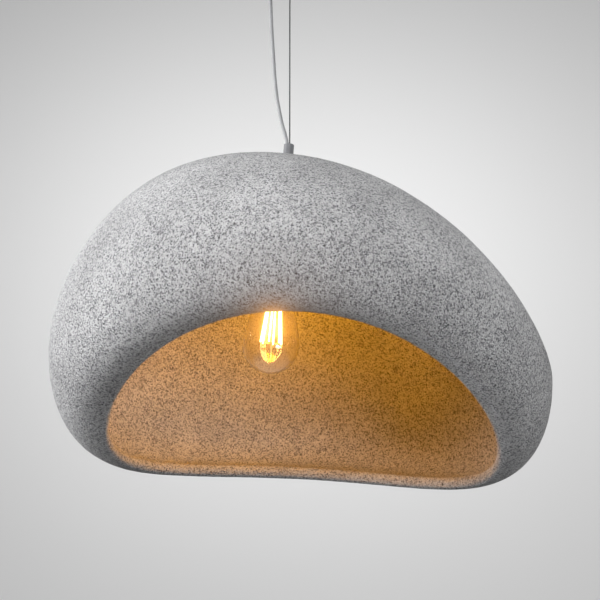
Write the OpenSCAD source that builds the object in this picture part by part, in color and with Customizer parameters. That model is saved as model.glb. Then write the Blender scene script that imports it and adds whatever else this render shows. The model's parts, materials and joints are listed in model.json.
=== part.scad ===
// Pendant ceiling light: a large pebble-shaped moulded shade with an open cowl front,
// hung from a small ceiling canopy by one steel wire, with the flex running beside it.
// Millimetres. Z = 0 is the ceiling, the lamp hangs below it, the wire runs down the Z axis.

/* [Shade] */
// Half the shade's width at its widest line
shade_half_width = 278; // [180:1:340]
// Half the shade's depth at its widest line
shade_half_depth = 250; // [160:1:320]
// Middle of the widest line, sideways from the wire
shade_mid_x = 12; // [-40:1:40]
// Middle of the widest line, front to back from the wire
shade_mid_y = -14; // [-40:1:40]
// Highest point of the shade, sideways from the wire
summit_x = -56; // [-90:1:0]
// Highest point of the shade, front to back from the wire
summit_y = -2; // [-40:1:40]
// Wall thickness of the shade
wall = 10; // [6:0.5:14]
// Radius of the rounded lip around the opening
lip = 8; // [5:0.5:12]
// Height from the summit to the rim at the two sides
side_height = 335; // [250:0.5:400]
// How much the rim rises from side to front
rim_rise = 74; // [20:1:120]
// Extra lift of the rim at the front and the back
rim_bow = 55; // [0:1:90]
// How much lower the right side of the rim is than the middle
rim_skew = 12; // [0:0.5:30]

/* [Suspension] */
// Ceiling to the lamp's own datum, just below the top of the gland
lamp_drop = 230; // [150:1:3000]
// Lean of the gland, tube and bulb away from upright, in degrees
lamp_lean = 5; // [0:0.5:12]
// Sideways place of the lamp's axis at its datum
lamp_x = -1.3; // [-6:0.1:6]
// Diameter of the steel wire
wire_d = 1.5; // [1:0.1:3]
// Diameter of the round flex
cord_d = 4.2; // [3:0.1:8]
// Distance from the wire to the flex at the canopy
cord_x = -24; // [-40:1:-16]

/* [Canopy] */
// Outside diameter of the ceiling canopy
canopy_d = 110; // [90:1:160]
// Height of the ceiling canopy
canopy_h = 25; // [20:1:50]
// Sheet thickness of the canopy
canopy_t = 1.2; // [0.8:0.1:2]
// Distance between the two ceiling screws
fixing_pitch = 70; // [50:1:90]
// Width of the slots for the ceiling screws
fixing_slot_w = 4.8; // [4:0.1:6]
// Length of the slots for the ceiling screws
fixing_slot_l = 14; // [8:1:20]

/* [Bulb] */
// Largest diameter of the bulb
bulb_d = 64; // [45:1:125]
// Length of the bulb with its cap
bulb_len = 140; // [100:1:180]
// Number of glowing filament sticks
filaments = 6; // [2:1:8]

/* [Hidden] */
$fn = 64;
// heights along the lamp's own axis, from its datum
gland_top = 7;
gland_low = -21.5;
seat_h = gland_low - 1.5;
boss_top = -29;
boss_low = -37;
screw_tip = -31;
plate_low = boss_low - 2;
nut_low = plate_low - 6;
holder_top = -91;
holder_split = holder_top - 17;
tube_top = -12;
tube_low = holder_top - 8;
grip_low = holder_top - 13;
insert_low = holder_split - 9;
bulb_foot = holder_split - 12;
bulb_tip = bulb_foot - bulb_len;
bulb_wide = bulb_tip + 31;
bulb_cap_low = bulb_foot - 26;
glass_top = bulb_cap_low + 4;
holder_low = bulb_foot - 27;
tube_r = 5;
bore_r = 3.75;
// the wire's pivot in the canopy
pivot_z = -15;
ball_r = 3.5;
seat_r = 6.5;
run = 0.05;
clamp_gap = 0.2;
plate_r = 53;
plate_t = 2.5;
wire_r = wire_d / 2;
cord_r = cord_d / 2;
screw_z = -9;
// shade shape
summit_z = -lamp_drop - 17;
round_right = 1.33;
round_left = 1.7;
round_front = 1.75;
round_back = 1.5;
round_lower = 2.2;
under_right = 82;
under_left = 91;
under_front = 60;
under_back = 50;
roll_right = 54;
roll_left = 60;
roll_front = 44;
roll_back = 50;
sectors = 72;
up_steps = 16;
low_steps = 8;
lip_steps = 6;

// ---------------------------------------------------------------- shade surface

// a value blended round the shade from its right, left, front and back figures
function around(a, r, l, f, b) =
    (r * (1 + cos(a)) + l * (1 - cos(a))) / 2 * pow(cos(a), 2)
    + (b * (1 + sin(a)) + f * (1 - sin(a))) / 2 * pow(sin(a), 2);
function under(a) = around(a, under_right, under_left, under_front, under_back);
function roll(a) = around(a, roll_right, roll_left, roll_front, roll_back);
function rim_z(a) = summit_z - side_height - rim_rise * sin(a) + rim_bow * pow(sin(a), 2)
    - rim_skew * cos(a);
function wide_z(a) = rim_z(a) + under(a);
function round_upper(a) = around(a, round_right, round_left, round_front, round_back);
function wide_x(a, in) = shade_mid_x + (shade_half_width - in) * cos(a);
function wide_y(a, in) = shade_mid_y + (shade_half_depth - in) * sin(a);
// upper skin from the summit (t = 0) to the widest line (t = 90)
function upper_pt(a, t, in) = let (z = wide_z(a), k = pow(cos(t), 2 / round_upper(a)), s = sin(t))
    [summit_x + (wide_x(a, in) - summit_x) * s,
     summit_y + (wide_y(a, in) - summit_y) * s,
     z + (summit_z - in - z) * k];
// rolled-under skin from the widest line (t = 0) to the rim (t = 90)
function lower_pt(a, t, in, lift) =
    let (k = t >= 90 ? 0 : pow(cos(t), 2 / round_lower), d = 1 - pow(sin(t), 2 / round_lower),
         rx = wide_x(a, roll(a)), ry = wide_y(a, roll(a)), z = rim_z(a) + lift)
    [rx + (wide_x(a, in) - rx) * k, ry + (wide_y(a, in) - ry) * k, z + (wide_z(a) - z) * d];
// rounded lip, from its foot (t = -90) round the inside to its top (t = 90)
function lip_pt(a, t) =
    [wide_x(a, roll(a) + lip * cos(t)), wide_y(a, roll(a) + lip * cos(t)), rim_z(a) + lip + lip * sin(t)];
function section(a) = concat(
    [for (i = [1:up_steps]) upper_pt(a, 90 * i / up_steps, 0)],
    [for (i = [1:low_steps]) lower_pt(a, 90 * i / low_steps, 0, 0)],
    [for (i = [1:lip_steps - 1]) lip_pt(a, -90 + 180 * i / lip_steps)],
    [for (i = [low_steps:-1:1]) lower_pt(a, 90 * i / low_steps, wall, 2 * lip)],
    [for (i = [up_steps:-1:1]) upper_pt(a, 90 * i / up_steps, wall)]);

rings = 2 * up_steps + 2 * low_steps + lip_steps - 1;

module shade_skin() {
    pts = concat([for (j = [0:sectors - 1]) each section(360 * j / sectors)],
        [[summit_x, summit_y, summit_z], [summit_x, summit_y, summit_z - wall]]);
    top = sectors * rings;
    sides = [for (j = [0:sectors - 1], i = [0:rings - 2])
        let (a = j * rings + i, b = ((j + 1) % sectors) * rings + i)
        each [[a, b + 1, a + 1], [a, b, b + 1]]];
    caps = [for (j = [0:sectors - 1])
        let (a = j * rings, b = ((j + 1) % sectors) * rings)
        each [[top, b, a], [top + 1, a + rings - 1, b + rings - 1]]];
    polyhedron(pts, concat(sides, caps), convexity = 8);
}

// ---------------------------------------------------------------- helpers

module on_lamp() {
    translate([lamp_x, 0, -lamp_drop]) rotate([0, lamp_lean, 0]) children();
}
module span(z0, z1, r) {
    translate([0, 0, min(z0, z1)]) cylinder(h = abs(z1 - z0), r = r);
}
module ring(z0, z1, r_out, r_in) {
    difference() {
        span(z0, z1, r_out);
        span(min(z0, z1) - 1, max(z0, z1) + 1, r_in);
    }
}
module hex_nut(z0, z1, flats, r_in) {
    difference() {
        translate([0, 0, min(z0, z1)]) cylinder(h = abs(z1 - z0), r = flats / sqrt(3), $fn = 6);
        span(min(z0, z1) - 1, max(z0, z1) + 1, r_in);
    }
}
module spin(points) {
    rotate_extrude($fn = 96) polygon(points);
}
module slot_cut(w, l, z0, z1) {
    for (s = [-1, 1]) translate([0, s * (l - w) / 2, z0]) cylinder(h = z1 - z0, d = w);
    translate([-w / 2, -(l - w) / 2, z0]) cube([w, l - w, z1 - z0]);
}

// smooth curve through the flex's route
function bend(p0, p1, p2, p3, t) = 0.5 * ((2 * p1) + (p2 - p0) * t
    + (2 * p0 - 5 * p1 + 4 * p2 - p3) * t * t + (3 * p1 - p0 - 3 * p2 + p3) * t * t * t);
function route_pt(r, i, t) = bend(r[max(i - 1, 0)], r[i], r[i + 1], r[min(i + 2, len(r) - 1)], t);
function unit(v) = v / norm(v);
module tube_along(r, radius, steps, sides) {
    line = concat([for (i = [0:len(r) - 2], k = [0:steps - 1]) route_pt(r, i, k / steps)], [r[len(r) - 1]]);
    n = len(line);
    dirs = [for (i = [0:n - 1]) unit(line[min(i + 1, n - 1)] - line[max(i - 1, 0)])];
    pts = [for (i = [0:n - 1], k = [0:sides - 1])
        let (s = unit(cross(dirs[i], [0, 1, 0])), u = cross(s, dirs[i]), a = 360 * k / sides)
        line[i] + radius * (cos(a) * s + sin(a) * u)];
    body = [for (i = [0:n - 2], k = [0:sides - 1])
        let (a = i * sides + k, b = i * sides + (k + 1) % sides)
        each [[a, b, b + sides], [a, b + sides, a + sides]]];
    first = [for (k = [sides - 1:-1:0]) k];
    last = [for (k = [0:sides - 1]) (n - 1) * sides + k];
    polyhedron(pts, concat(body, [first, last]), convexity = 8);
}

// a point given in the lamp's own leaning frame
function lamp_pt(x, h) = [lamp_x + x * cos(lamp_lean) + h * sin(lamp_lean), 0,
    -lamp_drop + h * cos(lamp_lean) - x * sin(lamp_lean)];

cord_route = [
    [cord_x, 0, screw_z - 0.5], [cord_x, 0, -25], [-22.6, 0, -54], [-21.3, 0, -84],
    [-19.5, 0, -113], [-17.5, 0, -143], [-14.8, 0, -168], [-10, 0, -194], [-6.6, 0, -207],
    [-4.4, 0, -215], lamp_pt(-2.4, 7), lamp_pt(-2.4, -4), lamp_pt(-1.5, -12), lamp_pt(-0.5, -19),
    lamp_pt(0, -28), lamp_pt(0, -60), lamp_pt(0, grip_low)];

// ---------------------------------------------------------------- ceiling end

module ceiling_plate() {
    color("silver") difference() {
        union() {
            span(-plate_t, 0, plate_r - 2);
            for (s = [-1, 1]) translate([s > 0 ? 46 : -53.2, -6, -plate_t]) cube([7.2, 12, plate_t]);
            for (s = [-1, 1]) translate([s > 0 ? 51.2 : -53.2, -6, -15]) cube([2, 12, 15]);
        }
        for (s = [-1, 1]) translate([0, s * fixing_pitch / 2, 0]) slot_cut(fixing_slot_w, fixing_slot_l, -4, 1);
        for (s = [-1, 1]) translate([s * 60, 0, screw_z]) rotate([0, -s * 90, 0]) cylinder(h = 12, r = 2);
        for (s = [-1, 1]) translate([s * 11.5, 0, -5]) cylinder(h = 6, r = 1.5);
        translate([30, 0, -5]) cylinder(h = 6, r = 2);
        for (s = [-1, 1]) translate([-40, s * 14, -5]) cylinder(h = 6, r = 1.5);
        translate([-24, 0, -5]) cylinder(h = 6, r = 1.25);
    }
}
module canopy() {
    r = canopy_d / 2;
    color("gainsboro") difference() {
        spin([[6, -canopy_h], [r - 3, -canopy_h], [r - 0.9, -canopy_h + 0.9], [r, -canopy_h + 3],
            [r, -0.5], [r - canopy_t, -0.5], [r - canopy_t, -canopy_h + 3.4],
            [r - canopy_t - 0.6, -canopy_h + 1.8], [r - 3.4, -canopy_h + canopy_t], [6, -canopy_h + canopy_t]]);
        translate([cord_x, 0, -canopy_h - 1]) cylinder(h = 4, r = 5.5);
        for (s = [-1, 1]) translate([s * (r - 3), 0, screw_z]) rotate([0, s * 90, 0]) cylinder(h = 6, r = 2.4);
        for (s = [-1, 1]) translate([s > 0 ? r - 3 : -r - 3, -2.4, screw_z]) cube([6, 4.8, 12]);
    }
}
module canopy_screws() {
    r = canopy_d / 2;
    color("silver") for (s = [-1, 1]) translate([0, 0, screw_z]) rotate([0, s * 90, 0]) difference() {
        union() {
            span(46, r + 0.4, 2);
            span(r + 0.4, r + 2.2, 4);
            span(r + 2.2, r + 2.8, 3.2);
        }
        translate([-0.5, -5, r + 1.8]) cube([1, 10, 2]);
    }
}
module canopy_bushing() {
    color("dimgray") spin([[4.2, -canopy_h - 1.6], [7.4, -canopy_h - 1.6], [8.4, -canopy_h - 1],
        [8.4, -canopy_h], [6, -canopy_h], [6, -canopy_h + canopy_t], [7.2, -canopy_h + canopy_t],
        [6.6, -canopy_h + 2.2], [3.7, -canopy_h + 2.2]]);
}
module cord_grommet() {
    color("dimgray") translate([cord_x, 0, 0]) spin([[3.6, -canopy_h - 1.5], [6.6, -canopy_h - 1.5],
        [7.4, -canopy_h - 0.8], [7.4, -canopy_h], [5.5, -canopy_h], [5.5, -canopy_h + canopy_t],
        [6.8, -canopy_h + canopy_t], [6.2, -canopy_h + 2.4], [3.6, -canopy_h + 2.4]]);
}
module hanger_body() {
    color("silver") difference() {
        union() {
            span(-plate_t - 3, -plate_t, 14);
            span(-22, -plate_t - 3, 9);
        }
        for (s = [-1, 1]) translate([s * 11.5, 0, -9]) cylinder(h = 10, r = 1.5);
        span(pivot_z, -7, seat_r + run);
        translate([0, 0, pivot_z]) sphere(r = seat_r + run, $fn = 96);
        span(-23, pivot_z, 3.2);
    }
}
module hanger_screws() {
    color("silver") for (s = [-1, 1]) translate([s * 11.5, 0, 0]) {
        span(-plate_t - 3, -0.3, 1.5);
        span(-plate_t - 5, -plate_t - 3, 2.3);
    }
}
module hanger_seat() {
    color("ivory") difference() {
        intersection() {
            translate([0, 0, pivot_z]) sphere(r = seat_r, $fn = 96);
            span(pivot_z - 8, pivot_z + 2, 8);
        }
        translate([0, 0, pivot_z]) sphere(r = ball_r + run, $fn = 96);
        span(pivot_z, pivot_z + 4, ball_r + run);
        translate([0, 0, pivot_z - 8]) cylinder(h = 8, r1 = 2.6, r2 = 1.2);
    }
}
module wire_ball() {
    color("silver") difference() {
        translate([0, 0, pivot_z]) sphere(r = ball_r, $fn = 96);
        span(pivot_z - 5, pivot_z + 1, wire_r);
    }
}
module suspension_wire() {
    color("dimgray") span(pivot_z + 1, -lamp_drop - 10, wire_r);
}
module cord_clamp() {
    color("ivory") difference() {
        translate([-28.5, -6, -14.5]) cube([9, 12, 12]);
        translate([cord_x, 0, -15]) cylinder(h = 6, r = cord_r + clamp_gap);
        translate([-30, -4, -9.5]) cube([10, 8, 5]);
        translate([cord_x, 7, -12]) rotate([90, 0, 0]) cylinder(h = 5, r = 1.5);
        translate([-24, 0, -5]) cylinder(h = 6, r = 1.25);
    }
}
module cord_clamp_screws() {
    color("silver") {
        translate([cord_x, 8, -12]) rotate([90, 0, 0]) cylinder(h = 2, r = 2.4);
        translate([cord_x, 6, -12]) rotate([90, 0, 0]) cylinder(h = 6 - cord_r, r = 1.5);
    }
    color("silver") translate([-24, 0, 0]) {
        span(-4.5, -0.3, 1.25);
        span(-6, -4.5, 2.2);
    }
}
module terminal_block() {
    color("ivory") difference() {
        translate([-46, -10, -14.5]) cube([12, 20, 12]);
        for (y = [-6, 0, 6]) translate([-47, y, screw_z + 2]) rotate([0, 90, 0]) cylinder(h = 14, r = 1.6);
        for (y = [-6, 0, 6]) translate([-38, y, -15]) cylinder(h = 4.5, r = 1.75);
    }
}
module terminal_lugs() {
    color("goldenrod") for (s = [-1, 1]) difference() {
        translate([-46, s * 14 - (s > 0 ? 4 : 3), -5]) cube([12, 7, 2.5]);
        translate([-40, s * 14, -6]) cylinder(h = 5, r = 1.5);
    }
}
module terminal_fixings() {
    color("silver") for (s = [-1, 1]) translate([-40, s * 14, 0]) {
        span(-5, -0.3, 1.5);
        span(-7, -5, 2.8);
    }
}
module terminal_screws() {
    color("goldenrod") for (y = [-6, 0, 6]) translate([-38, y, 0]) difference() {
        span(-13.5, -10.5, 1.75);
        translate([-2, -0.25, -14]) cube([4, 0.5, 1]);
    }
}
module canopy_leads() {
    color("sienna") for (y = [-1, 1]) tube_along([[cord_x, y, screw_z + 0.6], [cord_x - 3.5, y * 1.2, screw_z + 2],
        [cord_x - 6.5, y * 3, screw_z + 2], [-34, y * 6, screw_z + 2], [-37, y * 6, screw_z + 2]], 0.8, 4, 8);
}
module earth_screw() {
    color("goldenrod") translate([30, 0, 0]) difference() {
        union() {
            span(-plate_t - 1, -0.3, 2);
            span(-plate_t - 3.5, -plate_t - 1, 3.8);
        }
        translate([-4, -0.4, -plate_t - 4]) cube([8, 0.8, 1.3]);
    }
}
module earth_washer() {
    color("goldenrod") translate([30, 0, 0]) ring(-plate_t - 1, -plate_t, 4.6, 2);
}

// ---------------------------------------------------------------- lamp end

module power_cord() {
    color("lightgray") tube_along(cord_route, cord_r, 3, 10);
}
module gland_cap() {
    color("gray") on_lamp() spin([[4.7, gland_top], [5.2, gland_top], [5.9, gland_top - 1.2], [5.9, gland_low + 6],
        [7, gland_low + 5], [7, gland_low], [5, gland_low], [5, -4], [4.7, -4]]);
}
module wire_anchor() {
    color("silver") difference() {
        on_lamp() span(-6, -4, 5);
        on_lamp() translate([-2.4, 0, 0]) span(-7, -3, cord_r + 0.2);
        span(-lamp_drop - 8, -lamp_drop - 2, wire_r);
    }
}
module wire_sleeve() {
    color("goldenrod") difference() {
        intersection() {
            translate([0, 0, -lamp_drop - 11]) cylinder(h = 8, r = 1.25);
            on_lamp() span(-14, -6, 6);
        }
        span(-lamp_drop - 10, -lamp_drop, wire_r);
    }
}
module gland_washer() {
    color("silver") on_lamp() ring(seat_h, gland_low, 9.5, tube_r);
}
module threaded_tube() {
    color("silver") on_lamp() ring(tube_low, tube_top, tube_r, bore_r);
}
module shade_shell() {
    color("darkgray") difference() {
        union() {
            shade_skin();
            on_lamp() span(boss_low, boss_top, 26);
        }
        on_lamp() span(seat_h, seat_h + 20, 10.5);
        on_lamp() span(boss_low - 5, seat_h + 5, tube_r);
        on_lamp() for (a = [30, 150, 270]) rotate(a) translate([17, 0, 0]) span(boss_low - 1, screw_tip, 1.75);
    }
}
module support_plate() {
    color("silver") on_lamp() difference() {
        span(plate_low, boss_low, 24);
        span(plate_low - 1, boss_low + 1, tube_r);
        for (a = [30, 150, 270]) rotate(a) translate([17, 0, 0]) span(plate_low - 1, boss_low + 1, 1.75);
    }
}
module plate_screws() {
    color("silver") on_lamp() for (a = [30, 150, 270]) rotate(a) translate([17, 0, 0]) difference() {
        union() {
            span(plate_low, screw_tip, 1.75);
            span(plate_low - 1.4, plate_low, 3.4);
            span(plate_low - 2, plate_low - 1.4, 2.6);
        }
        translate([-2, -0.4, plate_low - 3]) cube([4, 0.8, 1.8]);
        translate([-0.4, -2, plate_low - 3]) cube([0.8, 4, 1.8]);
    }
}
module lock_washer() {
    color("silver") on_lamp() difference() {
        ring(plate_low - 1, plate_low, 8.5, tube_r);
        rotate(20) translate([4, -0.5, plate_low - 2]) cube([6, 1, 3]);
    }
}
module plate_nut() {
    color("silver") on_lamp() hex_nut(nut_low, plate_low - 1, 14, tube_r);
}
module holder_nut() {
    color("silver") on_lamp() hex_nut(holder_top, holder_top + 4, 14, tube_r);
}
module holder_cap() {
    color("dimgray") on_lamp() spin([[5, holder_top], [11, holder_top], [15.5, holder_top - 1.8],
        [18.8, holder_top - 5.2], [20, holder_top - 9.5], [20, holder_split], [17.8, holder_split],
        [17.8, holder_top - 10], [16.6, holder_top - 6.6], [14, holder_top - 3.8], [8, holder_top - 2.6],
        [8, tube_low], [5, tube_low]]);
}
module holder_cord_grip() {
    color("ivory") on_lamp() ring(grip_low, tube_low, 8, cord_r);
}
module holder_leads() {
    color("sienna") on_lamp() for (s = [-1, 1]) translate([s * 1.05, 0, 0]) span(holder_split, grip_low, 0.8);
}
module holder_terminals() {
    color("goldenrod") on_lamp() for (s = [-1, 1]) difference() {
        translate([s > 0 ? 0.25 : -9.25, -3, holder_split - 4]) cube([9, 6, 4]);
        translate([s * 6, 0, holder_split - 3]) cylinder(h = 4, r = 1.5);
    }
}
module holder_terminal_screws() {
    color("silver") on_lamp() for (s = [-1, 1]) translate([s * 6, 0, 0]) {
        span(holder_split - 3, holder_split, 1.5);
        span(holder_split, holder_split + 1.6, 2.6);
    }
}
module holder_insert() {
    color("ivory") on_lamp() span(insert_low, holder_split - 4, 17.8);
}
module holder_body() {
    color("dimgray") on_lamp() spin([[17.8, holder_split], [20, holder_split], [20, holder_split - 14],
        [19.2, holder_split - 16], [19.2, holder_low + 3], [20, holder_low + 2], [20, holder_low],
        [15, holder_low], [15, insert_low], [17.8, insert_low]]);
}
module holder_screw_shell() {
    color("goldenrod") on_lamp() ring(bulb_foot - 22, insert_low, 15, 13.5);
}
module holder_contact() {
    color("goldenrod") on_lamp() {
        translate([-5.5, -2.5, insert_low - 1]) cube([11, 5, 1]);
        span(bulb_foot + 0.3, insert_low - 1, 2);
    }
}

// ---------------------------------------------------------------- bulb

neck_r = 12.4;
function glass_r(h) = let (t = min(max((glass_top - 6 - h) / (glass_top - 6 - bulb_wide), 0), 1))
    neck_r + (bulb_d / 2 - neck_r) * pow(sin(90 * t), 1.5);
function glass_line(in) = concat(
    [for (i = [0:16]) let (h = glass_top - (glass_top - bulb_wide) * i / 16) [glass_r(h) - in, h]],
    [for (a = [10:10:80]) [(bulb_d / 2 - in) * cos(a), bulb_wide - (bulb_wide - bulb_tip - in) * sin(a)]],
    [[0, bulb_tip + in]]);
function back(v) = [for (i = [len(v) - 1:-1:0]) v[i]];

module bulb_contact() {
    color("silver") on_lamp() spin([[0, bulb_foot], [2.6, bulb_foot], [4.4, bulb_foot - 0.9],
        [4.6, bulb_foot - 1.6], [0, bulb_foot - 1.6]]);
}
module bulb_insulator() {
    color("black") on_lamp() spin([[0, bulb_foot - 1.6], [4.6, bulb_foot - 1.6], [10.6, bulb_foot - 4.8],
        [0, bulb_foot - 4.8]]);
}
module bulb_cap() {
    color("silver") on_lamp() spin([[10.6, bulb_foot - 4.8], [12.4, bulb_foot - 6], [13.2, bulb_foot - 7],
        [13.2, bulb_cap_low], [12.4, bulb_cap_low], [12.4, bulb_foot - 7.4], [11.8, bulb_foot - 6.8],
        [10.6, bulb_foot - 6]]);
}
module bulb_driver() {
    color("darkgreen") on_lamp() {
        span(bulb_foot - 13, bulb_foot - 11.4, 12.4);
        translate([3, 0, 0]) span(bulb_foot - 11.4, bulb_foot - 6.5, 2.5);
        translate([-6, -2, bulb_foot - 11.4]) cube([4, 4, 2.2]);
    }
}
module bulb_glass() {
    color("wheat", 0.35) on_lamp() spin(concat(glass_line(0), back(glass_line(0.9))));
}
stem_low = -186;
module bulb_stem() {
    color("lightgray", 0.6) on_lamp() spin([[0, glass_top], [11.5, glass_top], [11.2, glass_top - 3],
        [5, glass_top - 9], [3.2, glass_top - 14], [2.6, stem_low + 8], [2.2, stem_low], [0, stem_low]]);
}
stick_top = -188;
stick_low = -226;
module bulb_filaments() {
    color("orange") on_lamp() for (i = [0:filaments - 1]) rotate(360 / filaments * i + 20)
        translate([8.5, 0, stick_top]) rotate([0, 174, 0]) cylinder(h = stick_top - stick_low, r = 0.9, $fn = 24);
}
module filament_frame() {
    color("silver") on_lamp() {
        span(stick_low - 14, stem_low, 0.5);
        for (i = [0:filaments - 1]) rotate(360 / filaments * i + 20) {
            translate([0, 0, stick_top + 0.3]) rotate([0, 90, 0]) cylinder(h = 8.9, r = 0.35, $fn = 16);
            translate([0, 0, stick_low - 0.1]) rotate([0, 90, 0]) cylinder(h = 12.6, r = 0.35, $fn = 16);
        }
        translate([0, 0, stick_low - 14.5]) sphere(r = 1.1, $fn = 24);
    }
}

ceiling_plate();
canopy();
canopy_screws();
canopy_bushing();
cord_grommet();
hanger_body();
hanger_screws();
hanger_seat();
wire_ball();
suspension_wire();
cord_clamp();
cord_clamp_screws();
terminal_block();
terminal_lugs();
terminal_fixings();
terminal_screws();
canopy_leads();
earth_screw();
earth_washer();
power_cord();
gland_cap();
wire_anchor();
wire_sleeve();
gland_washer();
threaded_tube();
shade_shell();
support_plate();
plate_screws();
lock_washer();
plate_nut();
holder_nut();
holder_cap();
holder_cord_grip();
holder_leads();
holder_terminals();
holder_terminal_screws();
holder_insert();
holder_body();
holder_screw_shell();
holder_contact();
bulb_contact();
bulb_insulator();
bulb_cap();
bulb_driver();
bulb_glass();
bulb_stem();
bulb_filaments();
filament_frame();
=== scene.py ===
# %% [markdown]
# # A pendant light with a pebble-shaped shade
# The lamp is a large moulded shade with an open cowl front. One steel wire carries it and a round flex runs
# beside the wire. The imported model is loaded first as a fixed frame, so every piece made here goes
# straight to its place in metres: Z = 0 is the ceiling, and the wire runs down the Z axis.

# %% Load the frame
import json
import math

import bmesh
import bpy
import numpy as np
from mathutils import Matrix, Vector, noise

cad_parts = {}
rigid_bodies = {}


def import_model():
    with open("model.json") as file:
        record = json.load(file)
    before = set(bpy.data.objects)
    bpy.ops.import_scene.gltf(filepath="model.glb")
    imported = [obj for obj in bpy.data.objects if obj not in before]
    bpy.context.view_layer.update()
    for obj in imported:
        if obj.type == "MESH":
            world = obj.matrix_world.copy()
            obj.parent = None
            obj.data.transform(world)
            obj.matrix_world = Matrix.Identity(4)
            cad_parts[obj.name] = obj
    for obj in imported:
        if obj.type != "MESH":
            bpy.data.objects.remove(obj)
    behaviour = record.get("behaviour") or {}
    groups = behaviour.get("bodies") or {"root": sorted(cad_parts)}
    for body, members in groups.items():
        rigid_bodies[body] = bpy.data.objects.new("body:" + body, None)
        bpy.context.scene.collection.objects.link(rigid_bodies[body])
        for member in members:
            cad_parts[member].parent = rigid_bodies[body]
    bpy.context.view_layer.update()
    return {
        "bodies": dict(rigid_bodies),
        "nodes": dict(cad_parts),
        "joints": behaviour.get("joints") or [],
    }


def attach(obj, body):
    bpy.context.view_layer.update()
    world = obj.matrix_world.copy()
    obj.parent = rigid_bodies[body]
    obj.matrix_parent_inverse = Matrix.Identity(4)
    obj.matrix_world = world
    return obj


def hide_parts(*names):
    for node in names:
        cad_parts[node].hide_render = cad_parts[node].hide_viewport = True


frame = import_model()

MM = 0.001
nodes = frame["nodes"]

# %% [markdown]
# ## Camera
# The lamp is looked at from a little below, with a long lens, as from across a room. A long lens keeps the
# shade's outline nearly parallel. The lens and the distance go together: 84 mm on a 36 mm sensor from
# 1.6 m fills the frame with the shade, and the canopy stays just above the edge of the view.

# %% Camera
CAMERA_RISE = math.radians(9.3)      # the camera looks up by this much
camera_data = bpy.data.cameras.new("camera")
camera_data.lens = 84.0
camera_data.sensor_width = 36.0
camera_data.clip_end = 50.0
camera = bpy.data.objects.new("camera", camera_data)
camera.location = (0.0119, -1.568, -0.662)
camera.rotation_euler = (math.radians(90) + CAMERA_RISE, 0.0, 0.0)
bpy.context.scene.collection.objects.link(camera)
bpy.context.scene.camera = camera
bpy.context.scene.view_settings.view_transform = "Standard"
bpy.context.scene.cycles.use_denoising = True
print("camera at", tuple(camera.location))

# %% [markdown]
# ## Colours and nodes
# Paint and plastic colours are easiest to name as sRGB hex codes, and Blender's sockets take linear light,
# so one function turns one into the other. One more function adds a node: its settings are properties or
# socket values, and its links say which output feeds which socket.

# %% Colour and node helpers
def linear(code):
    """An sRGB hex code as linear red, green, blue and alpha."""
    parts = [int(code[i:i + 2], 16) / 255 for i in (1, 3, 5)]
    return (*[c / 12.92 if c <= 0.04045 else ((c + 0.055) / 1.055) ** 2.4 for c in parts], 1.0)


def add_node(owner, kind, settings=None, links=None):
    """Adds a node of that kind to a material or world, sets it up and links it."""
    node = owner.node_tree.nodes.new(kind)
    for name, value in (settings or {}).items():
        if name == "stops":
            for i, (place, colour) in enumerate(value):
                stops = node.color_ramp.elements
                stop = stops[i] if i < 2 else stops.new(place)
                stop.position, stop.color = place, colour
        elif isinstance(name, int) or name in node.inputs:
            node.inputs[name].default_value = value
        else:
            setattr(node, name, value)
    for name, output in (links or {}).items():
        owner.node_tree.links.new(output, node.inputs[name])
    return node


def start_material(name, **values):
    """A material, its Principled shader with constants on its own sockets, and its place in metres."""
    material = bpy.data.materials.new(name)
    material.use_nodes = True
    material.node_tree.nodes.clear()
    constants = {name.replace("_", " "): value for name, value in values.items()}
    shader = add_node(material, "ShaderNodeBsdfPrincipled", constants)
    add_node(material, "ShaderNodeOutputMaterial", links={"Surface": shader.outputs[0]})
    place = add_node(material, "ShaderNodeTexCoord").outputs["Object"]
    return material, shader, place


def connect(material, output, socket):
    """Links an output to a socket."""
    material.node_tree.links.new(output, socket)


def per_metre(size_mm):
    """How often a pattern of that real size repeats in a metre."""
    return 1 / (size_mm * MM)


print("mid grey is", linear("#808080")[0])

# %% [markdown]
# ## Mesh helpers
# Nearly all the small parts are turned on a lathe or moulded round, so one function turns a closed outline
# about Z. Its radius can also be waved by angle and height, which makes a true screw thread or grip ribs
# from the same few lines. Outlines are in millimetres. The lamp's own axis leans a little, and its place
# comes from the joint that the bulb turns on.

# %% Mesh helpers
turn_joint = next(j for j in frame["joints"] if j["name"] == "bulb_turn")
BULB_FOOT = -120.0                   # height of the bulb's foot on the lamp's axis, in mm
lamp_up = -Vector(turn_joint["axis"]).normalized()
lamp_datum = Vector(turn_joint["pos_m"]) - lamp_up * BULB_FOOT * MM
LEAN = math.atan2(lamp_up.x, lamp_up.z)
ON_LAMP = Matrix.Translation(lamp_datum) @ Matrix.Rotation(LEAN, 4, "Y")
UPRIGHT = Matrix.Identity(4)


def lathe(outline, around=96, wave=None):
    """Points and faces of a closed outline turned about Z. What wave gives is added to the radius."""
    points, faces, count = [], [], len(outline)
    for k in range(around):
        angle = 2 * math.pi * k / around
        for radius, height in outline:
            r = radius + (wave(angle, radius, height) if wave and radius > 0 else 0.0)
            points.append((r * math.cos(angle), r * math.sin(angle), height))
        following = (k + 1) % around
        faces += [(k * count + i, k * count + (i + 1) % count,
                   following * count + (i + 1) % count, following * count + i) for i in range(count)]
    return points, faces


def arc(centre_r, centre_h, radius_r, radius_h, start, end, steps=8):
    """Points along part of an ellipse, from one angle in degrees to another."""
    angles = [math.radians(start + (end - start) * i / steps) for i in range(steps + 1)]
    return [(centre_r + radius_r * math.cos(a), centre_h + radius_h * math.sin(a)) for a in angles]


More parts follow.
